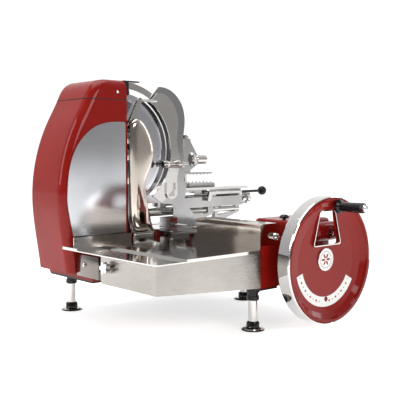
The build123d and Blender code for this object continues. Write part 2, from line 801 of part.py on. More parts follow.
with BuildPart() as blade_fender:
    fender_r = case_top - 4 - blade_z
    fender_turn = math.radians(59)
    start = Plane(origin=at(blade_x, 0, blade_z), x_dir=(math.cos(fender_turn), 0, math.sin(fender_turn)),
                  z_dir=(-math.sin(fender_turn), 0, math.cos(fender_turn)))
    with BuildSketch(start):
        with BuildLine():
            Polyline((fender_r - 20, 541), (fender_r, 541), (fender_r, 590), (fender_r - 3, 590),
                     (fender_r - 3, 544), (fender_r - 20, 544), close=True)
        make_face()
    revolve(axis=Axis(at(blade_x, 0, blade_z), (0, -1, 0)), revolution_arc=27)
write(blade_fender.part, "blade_fender")

stones = []
for stone_y in (546.0, 562.0):
    stones.append(turned(spindle_y(-104, stone_y, blade_z + blade_r + 1), (0, 0), (16, 0), (16, 8), (0, 8)))
write(group("grinding_stones", stones), "grinding_stones")


lever_end_x = -62
lever_end_z = 652
arm_len = math.hypot(lever_end_x - lug_x, lever_end_z - lug_z)
arm_turn = math.degrees(math.atan2(lever_end_z - lug_z, lever_end_x - lug_x))
with BuildPart() as sharpener_arm:
    with BuildSketch(front(column_front + 10)):
        arm_middle = ((lug_x + lever_end_x) / 2, (lug_z + lever_end_z) / 2, 0)
        with Locations(Location(arm_middle, (0, 0, arm_turn))):
            SlotCenterToCenter(arm_len, 16)
    extrude(amount=8)
    with BuildSketch(front(column_back - 1, lug_x, lug_z)):
        Circle(5)
    extrude(amount=column_back - column_front - 11)
write(sharpener_arm.part, "sharpener_arm")

rod_start = lever_end_x + 8.0
sharpener_rod = turned(spindle_x(rod_start, column_front + 6, lever_end_z), (0, 0), (4, 0), (4, 56),
                       (3, 58), (0, 58))
write(sharpener_rod, "sharpener_rod")

# ------------------------------------------------------------------ carriage


def rail_hole(x_low, x_high, y, radius):
    """The hole that a rail, or a rail with its running clearance, needs."""
    length = x_high - x_low
    return turned(spindle_x(x_low, y, rail_z), (0, 0), (radius, 0), (radius, length), (0, length))


rails = []
for rail_y in (rail_front, rail_rear):
    rails.append(rail_hole(rail_left, rail_right, rail_y, rail_r))
write(group("carriage_rails", rails), "carriage_rails")

brackets = []
for rail_y in (rail_front, rail_rear):
    with BuildPart() as left_bracket:
        add(block(rail_left, rail_left + 20, rail_y - bush_half, rail_y + bush_half, low_top, bracket_top))
        add(rail_hole(rail_left - 1, rail_left + 21, rail_y, rail_r), mode=Mode.SUBTRACT)
    brackets.append(left_bracket.part)
    with BuildPart() as right_bracket:
        with BuildSketch(front(rail_y + 8)):
            with BuildLine():
                Polyline((base_right - 30, high_top + deck_t), (base_right - 6, high_top + deck_t),
                         (rail_right, rail_z - rail_r - 3), (rail_right, bracket_top),
                         (rail_right - 20, bracket_top),
                         (rail_right - 20, rail_z - rail_r + 1), (base_right - 14, rail_z - rail_r - 11),
                         (base_right - 14, bracket_top), (base_right - 30, bracket_top), close=True)
            make_face()
        extrude(amount=16)
        add(rail_hole(base_right - 40, rail_right + 1, rail_y, rail_r), mode=Mode.SUBTRACT)
    brackets.append(right_bracket.part)
write(group("rail_brackets", brackets), "rail_brackets")

bushes = []
for rail_y in (rail_front, rail_rear):
    for bush_x in (frame_left + 8, driver_x + 24):
        with BuildPart() as bush:
            add(block(bush_x, bush_x + bush_w, rail_y - bush_half, rail_y + bush_half,
                      rail_z - bush_half, frame_low))
            add(rail_hole(bush_x - 1, bush_x + bush_w + 1, rail_y, rail_r + running), mode=Mode.SUBTRACT)
        bushes.append(bush.part)
write(group("carriage_bushes", bushes), "carriage_bushes")

bar = 12.0
with BuildPart() as carriage_frame:
    add(block(frame_left, frame_right, frame_front, frame_front + bar, frame_low, frame_top))
    add(block(frame_left, frame_right, frame_back - bar, frame_back, frame_low, frame_top))
    for cross_x in (frame_left, driver_x - driver_w / 2, frame_right - 24):
        add(block(cross_x, cross_x + 24, frame_front, frame_back, frame_top - 20, frame_top))
    for bush_x in (frame_left + 8, driver_x + 24):
        for rail_y in (rail_front, rail_rear):
            add(block(bush_x, bush_x + bush_w, rail_y - bush_half, rail_y + bush_half, frame_low,
                      frame_low + 14))
    for runner_x in (frame_left + 20, frame_right - 22):
        add(block(runner_x, runner_x + 12, frame_front, frame_back, frame_top, table_z))
    with BuildSketch(side(frame_right + 1, frame_front + bar / 2, star_z)):
        Circle(5 + running)
    extrude(amount=-20, mode=Mode.SUBTRACT)
    with BuildSketch(front(frame_front + bar - 2, lever_x, lever_z - 22)):
        Circle(5 + running)
    extrude(amount=bar, mode=Mode.SUBTRACT)
write(carriage_frame.part, "carriage_frame")

with BuildPart() as carriage_driver:
    add(block(driver_x - driver_w / 2, driver_x + driver_w / 2, driver_y - 4, driver_y + 4, driver_low,
              frame_top - 20))
    with BuildSketch(front(driver_y + 5)):
        with Locations((driver_x, 192)):
            Rectangle(12, 84)
    extrude(amount=10, mode=Mode.SUBTRACT)
write(carriage_driver.part, "carriage_driver")

star_plane = spindle_x(frame_right, frame_front + bar / 2, star_z)
with BuildPart() as carriage_lock_knob:
    add(turned(star_plane, (0, -18), (5, -18), (5, gap), (10, gap), (12, 10), (star_r - 8, 14),
               (star_r - 8, 30), (10, 34), (0, 34)))
    with BuildSketch(side(frame_right + 14, frame_front + bar / 2, star_z)):
        with PolarLocations(star_r - 8, 6):
            Circle(8)
    extrude(amount=16)
write(carriage_lock_knob.part, "carriage_lock_knob")

with BuildPart() as meat_table:
    add(block(table_left, table_right, table_front, table_back, table_z, table_z + table_t))
    fillet(meat_table.edges().filter_by(Axis.Z), 10)
    add(block(feed_x - 7, feed_x + 7, 604, 792, table_z - 1, table_z + table_t + 1), mode=Mode.SUBTRACT)
write(meat_table.part, "meat_table")

with BuildPart() as screw_bearing:
    for bearing_y in (592, 796):
        add(block(feed_x - 12, feed_x + 12, bearing_y, bearing_y + 8, feed_z - 11, table_z))
        with BuildSketch(front(bearing_y + 9, feed_x, feed_z)):
            Circle(feed_r + running)
        extrude(amount=10, mode=Mode.SUBTRACT)
write(group("screw_bearings", screw_bearing.part.solids()), "screw_bearings")

feed_screw = turned(spindle_y(feed_x, 0, feed_z), (0, 590), (feed_r, 590), (feed_r, 806), (14, 806),
                    (14, feed_end - 2), (12, feed_end), (0, feed_end))
write(feed_screw, "feed_screw")

with BuildPart() as feed_slide:
    plate_low = table_z + table_t + gap
    add(block(feed_x - 82, feed_x + 46, post_y - 30, post_y + 36, plate_low, table_z + table_t + 13))
    fillet(feed_slide.edges().filter_by(Axis.Z), 8)
    add(block(feed_x - 6, feed_x + 6, post_y - 20, post_y + 20, feed_z, table_z + table_t + 4))
    add(block(feed_x - 12, feed_x + 12, post_y - 20, post_y + 20, feed_z - 11, table_z - gap))
    with BuildSketch(front(post_y + 40, feed_x, feed_z)):
        Circle(feed_r + running)
    extrude(amount=80, mode=Mode.SUBTRACT)
    for spike_x in range(6):
        for spike_y in range(3):
            spike_foot = spindle_z(feed_x - 56 + 17 * spike_x, post_y - 20 + 18 * spike_y,
                                   table_z + table_t + 12.5)
            add(turned(spike_foot, (0, 0), (2.2, 0), (0.4, 9), (0, 9)))
write(feed_slide.part, "feed_slide")

post_foot = table_z + table_t + 13
post_len = post_top - post_foot
press_post = turned(spindle_z(post_x, post_y, post_foot), (0, 0), (post_r, 0), (post_r, post_len - 3),
                    (post_r - 3, post_len), (0, post_len))
write(press_post, "press_post")

with BuildPart() as press_head:
    add(block(post_x - 14, post_x + 14, post_y - 14, post_y + 14, press_z, press_top))
    with BuildSketch(level(press_top, post_x, post_y)):
        Circle(post_r + 5)
    extrude(amount=10)
    with BuildSketch(front(post_y + 14)):
        with BuildLine():
            Polyline((post_x + 12, press_top - 6), (post_x + 44, 486), (post_x + 44, 450),
                     (post_x + 12, 430), close=True)
        make_face()
    extrude(amount=28)
    add(turned(spindle_x(post_x + 12, post_y, knob_axis_z), (0, 0), (26, 0), (30, 6), (28, 14), (21, 28),
               (18, 32), (0, 32)))
    add(block(post_x - 14, post_x + 104, post_y - 26, post_y + 26, press_z, press_z + 6))
    with BuildSketch(level(press_z - 1, post_x, post_y)):
        Circle(post_r + running)
    extrude(amount=press_top - press_z + 20, mode=Mode.SUBTRACT)
    with BuildSketch(side(post_x + 46, post_y, knob_axis_z)):
        Circle(4 + running)
    extrude(amount=-32, mode=Mode.SUBTRACT)
    for spike_x in range(5):
        for spike_y in range(3):
            add(turned(spindle_z(post_x + 22 + 17 * spike_x, post_y - 18 + 18 * spike_y, press_z - 6),
                       (0, 0), (0.4, 0), (2.2, 7), (0, 7)))
write(press_head.part, "press_head")

press_knob = turned(spindle_x(post_x + 44, post_y, knob_axis_z), (0, -28), (4, -28), (4, gap), (15, gap),
                    (17, 4), (17, 44), (15, 48), (0, 48))
write(press_knob, "press_knob")

lever_bend = 158.0
with BuildPart() as feed_lever:
    with BuildSketch(front(lever_y + 7)):
        with BuildLine():
            lever_low = lever_z - 27
            Polyline((lever_x - 7, lever_low), (lever_x + 7, lever_low), (lever_x + 16, lever_z - 5),
                     (lever_x + lever_bend, lever_z - 4), (lever_x + lever_bend, lever_z + 4),
                     (lever_x + 2, lever_z + 5), close=True)
        make_face()
    extrude(amount=6)
    with BuildSketch(front(frame_front + bar - 3, lever_x, lever_z - 22)):
        Circle(5)
    extrude(amount=frame_front + bar - 3 - lever_y - 4)
write(feed_lever.part, "feed_lever")

lever_tip = spindle_x(lever_x + lever_bend, lever_y + 4, lever_z)
tip = ball_x - lever_x - lever_bend
with BuildPart() as lever_knob:
    with BuildSketch(lever_tip):
        with BuildLine():
            CenterArc((0, tip), ball_r, -90, 180)
            Line((0, tip + ball_r), (0, tip - ball_r))
        make_face()
    revolve(axis=Axis(lever_tip.origin, lever_tip.y_dir))
    add(turned(lever_tip, (0, 0), (5, 0), (5, tip - ball_r + 2), (0, tip - ball_r + 2)))
write(lever_knob.part, "lever_knob")

# ------------------------------------------------------------------ tray
with BuildPart() as tray:
    add(block(tray_left, tray_right, tray_front, tray_back, tray_z - tray_t, tray_z))
    fillet(tray.edges().filter_by(Axis.Z).group_by(Axis.Y)[0], 14)
    with BuildSketch(level(tray_z, (tray_left + tray_right) / 2, (tray_front + tray_back) / 2)) as rim:
        Rectangle(tray_right - tray_left, tray_back - tray_front)
        fillet(rim.vertices().group_by(Axis.Y)[0], 14)
        offset(rim.sketch, amount=-3, mode=Mode.SUBTRACT)
    extrude(amount=lip_h)
    add(block(plinth_left, case_right, tray_back - 3, tray_back, tray_z, window_bottom + 10))
write(tray.part, "tray")

with BuildPart() as tray_box:
    box_left = tray_left + 4
    box_right = arm_left - seat
    box_front = tray_front + 5
    box_top = tray_z - tray_t - 0.3
    for shrink, low, mode in ((0, 0, Mode.ADD), (box_t, 1, Mode.SUBTRACT)):
        with BuildSketch(front(box_front + box_depth - shrink)):
            with BuildLine():
                Polyline((box_left + shrink, box_low + shrink), (box_right - shrink, box_deep + shrink),
                         (box_right - shrink, box_top + low), (box_left + shrink, box_top + low), close=True)
            make_face()
        extrude(amount=box_depth - 2 * shrink, mode=mode)
    with BuildSketch(side(box_left - 1, knob_y, knob_z)):
        Circle(4 + running)
    extrude(amount=box_t + 2, mode=Mode.SUBTRACT)
write(tray_box.part, "tray_box")

with BuildPart() as tray_knob:
    add(turned(spindle_x(box_left, knob_y, knob_z), (0, -20), (9, -20), (9, -gap - 4), (6, -gap), (4, -gap),
               (4, box_t + 6), (7, box_t + 6), (7, box_t + 10), (0, box_t + 10)))
    with BuildSketch(side(box_left - 20, knob_y, knob_z)):
        with PolarLocations(11, 5):
            Circle(6)
        Circle(11)
    extrude(amount=12)
write(tray_knob.part, "tray_knob")
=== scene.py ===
# %% [markdown]
# A flywheel meat slicer, dressed for a studio picture. The imported CAD model gives every
# solid part in metres, already in place, so this lesson adds the finishes, the trim that CAD
# leaves out, the light and the camera. The first step loads that frame. Nothing added later
# may stick out of it.

# %% Load the frame
import math
import bmesh
import bpy
from mathutils import Matrix, Vector


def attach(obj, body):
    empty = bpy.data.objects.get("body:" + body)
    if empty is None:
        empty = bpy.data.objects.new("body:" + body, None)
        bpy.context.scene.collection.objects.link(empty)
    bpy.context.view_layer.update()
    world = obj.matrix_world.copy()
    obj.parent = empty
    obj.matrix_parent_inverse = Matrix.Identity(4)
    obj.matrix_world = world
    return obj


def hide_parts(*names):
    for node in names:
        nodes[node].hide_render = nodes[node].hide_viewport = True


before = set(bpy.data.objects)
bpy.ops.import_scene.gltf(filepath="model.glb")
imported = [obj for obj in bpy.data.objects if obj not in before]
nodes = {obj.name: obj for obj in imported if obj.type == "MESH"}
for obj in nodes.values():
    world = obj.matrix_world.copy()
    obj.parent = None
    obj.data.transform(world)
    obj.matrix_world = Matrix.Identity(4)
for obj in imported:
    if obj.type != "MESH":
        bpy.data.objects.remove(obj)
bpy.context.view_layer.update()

# %% [markdown]
# The CAD was drawn on a plan whose zero is at the front left of the machine. The shift from
# that plan to the middle of the machine's box is the same for every part, and a helper
# applies it, so the sizes below read as they would on a workshop drawing, in millimetres.

# %% Plan coordinates
PLAN_SHIFT = Vector((-0.08575, -0.363, 0.0))


def spot(x, y, z):
    """A point of the plan, given in millimetres, as a place in the scene in metres."""
    return Vector((x, y, z)) / 1000 + PLAN_SHIFT


wheel_centre = spot(209.5, 0, 192)
blade_centre = spot(-112, 556, 499)
print("wheel at", tuple(wheel_centre), "blade at", tuple(blade_centre))

# %% [markdown]
# The camera stands a little to the left and in front, at about half a metre above the
# counter, and looks slightly down. It is a real lens with its shift left at zero, so the same
# camera also works from any other side.

# %% Camera
CAMERA_PLACE = (-1.49325, -1.6388, 0.4956)
CAMERA_HEADING = 41.38
CAMERA_PITCH = 3.79
CAMERA_LENS = 65.74
camera_data = bpy.data.cameras.new("studio_camera")
camera_data.lens = CAMERA_LENS
camera_data.sensor_width = 36.0
camera_data.clip_end = 100
camera = bpy.data.objects.new("studio_camera", camera_data)
camera.location = CAMERA_PLACE
camera.rotation_euler = (math.radians(90 - CAMERA_PITCH), 0, math.radians(-CAMERA_HEADING))
bpy.context.scene.collection.objects.link(camera)
bpy.context.scene.camera = camera
bpy.context.scene.view_settings.view_transform = "Standard"
print("camera at", tuple(camera.location))

# %% [markdown]
# Polished steel has no colour of its own: it shows what stands round it. So the room matters
# more than the lamps. The world is a soft wrap that is white behind the machine and darker on
# the operator's side, which gives the steel something grey to reflect. A direction is enough
# to shade it: a dot product with the bright direction, brought to 0 to 1, drives a ramp. The
# camera itself sees plain white in place of the wrap, so every view has the same backdrop.

# %% The room
BRIGHT_SIDE = (0.66, 0.75, 0.10)
ROOM_STOPS = [(0.26, (0.17, 0.165, 0.16)), (0.40, (0.34, 0.335, 0.33)), (0.58, (0.58, 0.575, 0.57)),
              (0.86, (1.0, 1.0, 1.0))]
ROOM_STRENGTH = 1.1
world = bpy.data.worlds.new("studio_wrap")
bpy.context.scene.world = world
world.use_nodes = True
tree = world.node_tree
background = tree.nodes["Background"]
background.inputs["Strength"].default_value = ROOM_STRENGTH
direction = tree.nodes.new("ShaderNodeTexCoord")
facing = tree.nodes.new("ShaderNodeVectorMath")
facing.operation = "DOT_PRODUCT"
facing.inputs[1].default_value = BRIGHT_SIDE
halve = tree.nodes.new("ShaderNodeMath")
halve.operation = "MULTIPLY_ADD"
halve.inputs[1].default_value = 0.5
halve.inputs[2].default_value = 0.5
room_ramp = tree.nodes.new("ShaderNodeValToRGB")
stops = room_ramp.color_ramp.elements
while len(stops) < len(ROOM_STOPS):
    stops.new(0.5)
for stop, (place, shade) in zip(stops, ROOM_STOPS):
    stop.position = place
    stop.color = (*shade, 1)
tree.links.new(direction.outputs["Generated"], facing.inputs[0])
tree.links.new(facing.outputs["Value"], halve.inputs[0])
tree.links.new(halve.outputs[0], room_ramp.inputs["Fac"])

# %% The backdrop
ray = tree.nodes.new("ShaderNodeLightPath")
backdrop = tree.nodes.new("ShaderNodeMix")
backdrop.data_type = "RGBA"
backdrop.inputs["B"].default_value = (1, 1, 1, 1)
tree.links.new(ray.outputs["Is Camera Ray"], backdrop.inputs["Factor"])
tree.links.new(room_ramp.outputs["Color"], backdrop.inputs["A"])
tree.links.new(backdrop.outputs["Result"], background.inputs["Color"])
print("world wrap made")


# %% [markdown]
# Area lamps are the photographer's soft boxes. Large ones give the long, soft highlights that
# enamel and polished steel need. Each is aimed at a point on the machine.

# %% Soft boxes
def soft_box(name, place, target, width, height, power):
    """A rectangular lamp at a place, turned to face a target."""
    data = bpy.data.lights.new(name, "AREA")
    data.shape = "RECTANGLE"
    data.size = width
    data.size_y = height
    data.energy = power
    lamp = bpy.data.objects.new(name, data)
    lamp.location = place
    lamp.rotation_euler = (Vector(target) - Vector(place)).to_track_quat("-Z", "Y").to_euler()
    lamp.visible_camera = False
    bpy.context.scene.collection.objects.link(lamp)
    print(name, power, "W")


soft_box("top_box", (-0.3, 0.2, 3.0), (0, 0, 0.3), 2.6, 2.2, 50)
soft_box("left_box", (-3.0, 0.9, 1.7), (-0.2, 0, 0.35), 1.0, 2.2, 38)
soft_box("front_box", (-0.4, -3.4, 1.9), (0.0, 0, 0.25), 2.0, 1.0, 34)
soft_box("right_box", (2.8, -1.0, 1.4), (0.1, -0.2, 0.3), 0.6, 1.8, 12)

# %% [markdown]
# A pale floor catches the light and fills the undersides. It is staging, not part of the
# machine. A slight noise keeps it from looking computed, and a little glow of its own lifts
# it to the white of the backdrop, so that no horizon shows.

# %% Floor
def node_material(name):
    """A new material, with its node tree and its surface shader."""
    material = bpy.data.materials.new(name)
    material.use_nodes = True
    return material, material.node_tree, material.node_tree.nodes["Principled BSDF"]


def object_noise(tree, scale, stretch=(1, 1, 1), detail=4.0, roughness=0.55):
    """Noise that is fixed to the piece's own coordinates, stretched where a finish has a grain."""
    coordinates = tree.nodes.new("ShaderNodeTexCoord")
    mapping = tree.nodes.new("ShaderNodeMapping")
    mapping.inputs["Scale"].default_value = stretch
    noise = tree.nodes.new("ShaderNodeTexNoise")
    noise.inputs["Scale"].default_value = scale
    noise.inputs["Detail"].default_value = detail
    noise.inputs["Roughness"].default_value = roughness
    tree.links.new(coordinates.outputs["Object"], mapping.inputs["Vector"])
    tree.links.new(mapping.outputs["Vector"], noise.inputs["Vector"])
    return noise


def ramp_between(tree, source, low, high, low_at=0.35, high_at=0.65):
    """A ramp from one colour to another, driven by a noise."""
    ramp = tree.nodes.new("ShaderNodeValToRGB")
    ramp.color_ramp.elements[0].position = low_at
    ramp.color_ramp.elements[0].color = (*low, 1)
    ramp.color_ramp.elements[1].position = high_at
    ramp.color_ramp.elements[1].color = (*high, 1)
    tree.links.new(source, ramp.inputs["Fac"])
    return ramp.outputs["Color"]


def number_between(tree, source, low, high):
    """A noise value mapped to a range, for roughness."""
    span = tree.nodes.new("ShaderNodeMapRange")
    span.inputs["From Min"].default_value = 0.3
    span.inputs["From Max"].default_value = 0.7
    span.inputs["To Min"].default_value = low
    span.inputs["To Max"].default_value = high
    tree.links.new(source, span.inputs["Value"])
    return span.outputs["Result"]


def add_bump(tree, shader, height, strength, distance):
    """Small relief from a height, joined to the shader's normal."""
    bump = tree.nodes.new("ShaderNodeBump")
    bump.inputs["Strength"].default_value = strength
    bump.inputs["Distance"].default_value = distance
    tree.links.new(height, bump.inputs["Height"])
    tree.links.new(bump.outputs["Normal"], shader.inputs["Normal"])


FLOOR_DULL = (0.90, 0.90, 0.90)
FLOOR_PALE = (0.93, 0.93, 0.93)
FLOOR_GLOW = 0.62
FLOOR_HALF_WIDTH = 20
floor_paint, floor_tree, floor_shader = node_material("floor_paint")
floor_noise = object_noise(floor_tree, 0.8)
floor_colour = ramp_between(floor_tree, floor_noise.outputs["Fac"], FLOOR_DULL, FLOOR_PALE)
floor_tree.links.new(floor_colour, floor_shader.inputs["Base Color"])
floor_shader.inputs["Roughness"].default_value = 0.9
floor_shader.inputs["Specular IOR Level"].default_value = 0.1
floor_shader.inputs["Emission Color"].default_value = (1, 1, 1, 1)
floor_shader.inputs["Emission Strength"].default_value = FLOOR_GLOW

floor_mesh = bpy.data.meshes.new("floor")
floor_form = bmesh.new()
bmesh.ops.create_grid(floor_form, x_segments=2, y_segments=2, size=FLOOR_HALF_WIDTH)
floor_form.to_mesh(floor_mesh)
floor_form.free()
floor_mesh.materials.append(floor_paint)
floor = bpy.data.objects.new("floor", floor_mesh)
bpy.context.scene.collection.objects.link(floor)
print("floor laid")


# %% [markdown]
# Stove enamel is a deep colour under a clear, slightly rippled gloss. A coat layer over a
# duller base gives the double highlight of real enamel, and a very low noise gives the ripple
# called orange peel. The coat is kept thin, because a full one would wash the red out.

# %% Enamel
def enamel(name, deep, bright, ripple=0.02):
    """Glossy stove enamel in two near shades."""
    material, tree, shader = node_material(name)
    cloud = object_noise(tree, 6.0)
    colour = ramp_between(tree, cloud.outputs["Fac"], deep, bright)
    tree.links.new(colour, shader.inputs["Base Color"])
    fine = object_noise(tree, 60.0, detail=2.0)
    rough = number_between(tree, fine.outputs["Fac"], 0.30, 0.40)
    tree.links.new(rough, shader.inputs["Roughness"])
    shader.inputs["Specular IOR Level"].default_value = 0.05
    shader.inputs["Coat Weight"].default_value = 0.38
    shader.inputs["Coat Roughness"].default_value = 0.04
    shader.inputs["Coat IOR"].default_value = 1.5
    add_bump(tree, shader, fine.outputs["Fac"], ripple, 0.0005)
    return material


red_enamel = enamel("red_enamel", (0.205, 0.006, 0.004), (0.240, 0.008, 0.005))
white_enamel = enamel("white_enamel", (0.80, 0.79, 0.76), (0.86, 0.85, 0.83), 0.01)
black_paint = enamel("black_paint", (0.012, 0.012, 0.012), (0.02, 0.02, 0.02), 0.02)
print("enamels mixed")


# %% [markdown]
# The steels are all the same metal with different work on the surface. Mirror polish has
# very fine, faint lines, brushing has strong ones that run one way, turning leaves rings
# round the axis, and a casting has a soft, even skin. The lines are a noise that is squeezed
# across the direction of the work. Three copies of the mirror steel also carry painted light
# in their colour: a darker one is painted dark reflection on the gauge, a dark one is painted
# shade on the skirt under the tray, and a warm one is painted warm reflection on the covers.

# %% Steels
WORK_DEPTH = 0.0002


def worked_metal(name, dark, light, roughness, grain, stretch, strength):
    """Bare metal with a directional finish."""
    material, tree, shader = node_material(name)
    shader.inputs["Metallic"].default_value = 1.0
    wide = object_noise(tree, 5.0)
    colour = ramp_between(tree, wide.outputs["Fac"], dark, light)
    tree.links.new(colour, shader.inputs["Base Color"])
    lines = object_noise(tree, grain, stretch, detail=5.0, roughness=0.7)
    rough = number_between(tree, lines.outputs["Fac"], roughness[0], roughness[1])
    tree.links.new(rough, shader.inputs["Roughness"])
    add_bump(tree, shader, lines.outputs["Fac"], strength, WORK_DEPTH)
    return material


mirror_steel = worked_metal("mirror_steel", (0.58, 0.56, 0.54), (0.66, 0.64, 0.62),
                            (0.05, 0.11), 60.0, (1, 1, 12), 0.02)
sheet_steel = worked_metal("sheet_steel", (0.56, 0.57, 0.60), (0.64, 0.65, 0.68),
                           (0.10, 0.17), 90.0, (1, 1, 10), 0.012)
brushed_steel = worked_metal("brushed_steel", (0.31, 0.29, 0.268), (0.395, 0.375, 0.35),
                             (0.22, 0.32), 110.0, (0.2, 0.2, 14), 0.05)
cast_aluminium = worked_metal("cast_aluminium", (0.38, 0.375, 0.37), (0.48, 0.475, 0.47),
                              (0.18, 0.28), 160.0, (1, 1, 1), 0.005)
# Painted dark reflection: a darker copy of the mirror steel for the gauge plate and its support.
satin_steel_dark_reflection = worked_metal("satin_steel_dark_reflection", (0.36, 0.355, 0.36), (0.45, 0.445, 0.45),
                           (0.10, 0.17), 60.0, (1, 1, 12), 0.02)
machined_steel = worked_metal("machined_steel", (0.36, 0.36, 0.36), (0.46, 0.46, 0.45),
                              (0.25, 0.4), 200.0, (1, 6, 1), 0.12)
# Painted warm reflection: a warm-tinted copy of the mirror steel for the covers; the same material
# gives the brass bolt its own colour.
warm_reflection_and_brass_steel = worked_metal("warm_reflection_and_brass_steel", (0.56, 0.49, 0.43), (0.66, 0.60, 0.54),
                           (0.06, 0.13), 60.0, (1, 1, 12), 0.02)
# Painted shade: a dark copy of the mirror steel for the skirt under the tray.
painted_shade_steel = worked_metal("painted_shade_steel", (0.17, 0.155, 0.14), (0.24, 0.22, 0.20),
                           (0.06, 0.13), 60.0, (1, 1, 10), 0.02)
print("steels made")


# %% [markdown]
# The blade and the flywheel's rim were turned on a lathe, so their lines are rings. A
# Mapping node moves the pattern's middle to the axis, and a Wave texture in ring mode draws
# them round that axis.

# %% Turned and ground steel
def turned_metal(name, centre, dark, light, roughness, rings, strength):
    """Bare metal with fine rings round a level axis that points away from the operator."""
    material, tree, shader = node_material(name)
    shader.inputs["Metallic"].default_value = 1.0
    coordinates = tree.nodes.new("ShaderNodeTexCoord")
    mapping = tree.nodes.new("ShaderNodeMapping")
    mapping.inputs["Location"].default_value = -Vector(centre)
    wave = tree.nodes.new("ShaderNodeTexWave")
    wave.wave_type = "RINGS"
    wave.rings_direction = "Y"
    wave.inputs["Scale"].default_value = rings
    wave.inputs["Distortion"].default_value = 1.5
    wave.inputs["Detail"].default_value = 4.0
    tree.links.new(coordinates.outputs["Object"], mapping.inputs["Vector"])
    tree.links.new(mapping.outputs["Vector"], wave.inputs["Vector"])
    colour = ramp_between(tree, wave.outputs["Fac"], dark, light, 0.1, 0.9)
    tree.links.new(colour, shader.inputs["Base Color"])
    rough = number_between(tree, wave.outputs["Fac"], *roughness)
    tree.links.new(rough, shader.inputs["Roughness"])
    add_bump(tree, shader, wave.outputs["Fac"], strength, 0.0001)
    return material


blade_steel = turned_metal("blade_steel", blade_centre, (0.56, 0.56, 0.60), (0.64, 0.64, 0.68),
                           (0.07, 0.13), 220.0, 0.03)
rim_steel = turned_metal("rim_steel", wheel_centre, (0.62, 0.61, 0.60), (0.72, 0.71, 0.70),
                         (0.04, 0.09), 260.0, 0.03)
print("turned steels made")


# %% [markdown]
# Moulded plastic is nearly black with a soft sheen and a faint skin from the mould. The
# grinding stones are the opposite: matt and gritty all through.

# %% Plastic and stone
def moulded(name, low, high, roughness, grain, strength):
    """A non-metal with a fine skin."""
    material, tree, shader = node_material(name)
    skin = object_noise(tree, grain, detail=3.0)
    tree.links.new(ramp_between(tree, skin.outputs["Fac"], low, high), shader.inputs["Base Color"])
    rough = number_between(tree, skin.outputs["Fac"], *roughness)
    tree.links.new(rough, shader.inputs["Roughness"])
    shader.inputs["Specular IOR Level"].default_value = 0.28
    add_bump(tree, shader, skin.outputs["Fac"], strength, 0.0004)
    return material


black_plastic = moulded("black_plastic", (0.005, 0.005, 0.0055), (0.010, 0.010, 0.011),
                        (0.10, 0.16), 300.0, 0.05)
grinding_stone = moulded("grinding_stone", (0.20, 0.17, 0.15), (0.34, 0.30, 0.27),
                         (0.8, 0.95), 900.0, 0.6)
# Near-black matt fill: the dark joint round the cap, and painted shade in the slot beside the
# casing.
joint_black_and_slot_shade = moulded("joint_black_and_slot_shade", (0.008, 0.008, 0.008), (0.015, 0.015, 0.015),
                   (0.5, 0.7), 80.0, 0.1)
print("plastic and stone made")

# %% [markdown]
# Each CAD part keeps its shape and gets its finish by assigning to its material slots. One
# table says which finish goes where, so a change of finish is a change of one word.

# %% Finishes of the CAD parts
FINISHES = {
    red_enamel: ["base_casting", "wheel_housing", "casing_shell", "casing_cap", "flywheel"],
    mirror_steel: ["deck_plate", "sharpener_arm", "blade_guard", "blade_fender", "sharpener_rod",
                   "carriage_rails", "tray", "tray_knob", "foot_pads", "foot_tubes", "handle_pin",
                   "guard_handle", "thickness_screw", "meat_table", "press_post", "press_knob",
                   "feed_lever", "carriage_lock_knob"],
    sheet_steel: ["front_panel", "blade_column"],
    # Painted dark reflection: the gauge parts take the darkened steel.
    satin_steel_dark_reflection: ["gauge_plate", "gauge_support"],
    # Painted warm reflection on the covers' steel.
    warm_reflection_and_brass_steel: ["hub_cover", "arm_cover"],
    brushed_steel: ["tray_box"],
    cast_aluminium: ["rail_brackets", "carriage_frame", "screw_bearings", "feed_slide",
                     "press_head"],
    machined_steel: ["ball_bearings", "base_chain", "carriage_chain", "blade_chain",
                     "flywheel_shaft", "drive_sprockets", "idler_sprocket", "layshaft",
                     "layshaft_small_sprocket", "layshaft_large_sprocket", "blade_shaft",
                     "blade_sprocket", "carriage_bushes", "carriage_driver", "feed_screw"],
    blade_steel: ["blade"],
    rim_steel: ["flywheel_rim"],
    black_plastic: ["foot_sockets", "handle_grip", "lever_knob", "lock_knob"],
    black_paint: ["base_plate", "sharpener_cover"],
    white_enamel: ["wheel_badge"],
    grinding_stone: ["grinding_stones"],
}
for finish, names in FINISHES.items():
    for name in names:
        for material_slot in nodes[name].material_slots:
            material_slot.material = finish
finished = [name for names in FINISHES.values() for name in names]
print("finished", len(finished), "parts, left out", sorted(set(nodes) - set(finished)))


# %% [markdown]
# Small turned trim is made as on a lathe: a profile of (radius, distance along the axis) is
# spun once round. The spin closes on itself with use_merge, and doubles at the axis are
# merged before the normals are set.

# %% Helpers for new pieces
ACROSS = (1, 0, 0)
AWAY = (0, 1, 0)
UP = (0, 0, 1)
SHARP_ANGLE = 35


def add_piece(name, form, material, body, smooth=True):
    """Turn a bmesh into a finished piece that rides on a body."""
    bmesh.ops.recalc_face_normals(form, faces=form.faces)
    mesh = bpy.data.meshes.new(name)
    form.to_mesh(mesh)
    form.free()
    mesh.materials.append(material)
    piece = bpy.data.objects.new(name, mesh)
    bpy.context.scene.collection.objects.link(piece)
    if smooth:
        mesh.shade_smooth()
        mesh.set_sharp_from_angle(angle=math.radians(SHARP_ANGLE))
    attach(piece, body)
    print(name, len(mesh.polygons), "faces")
    return piece


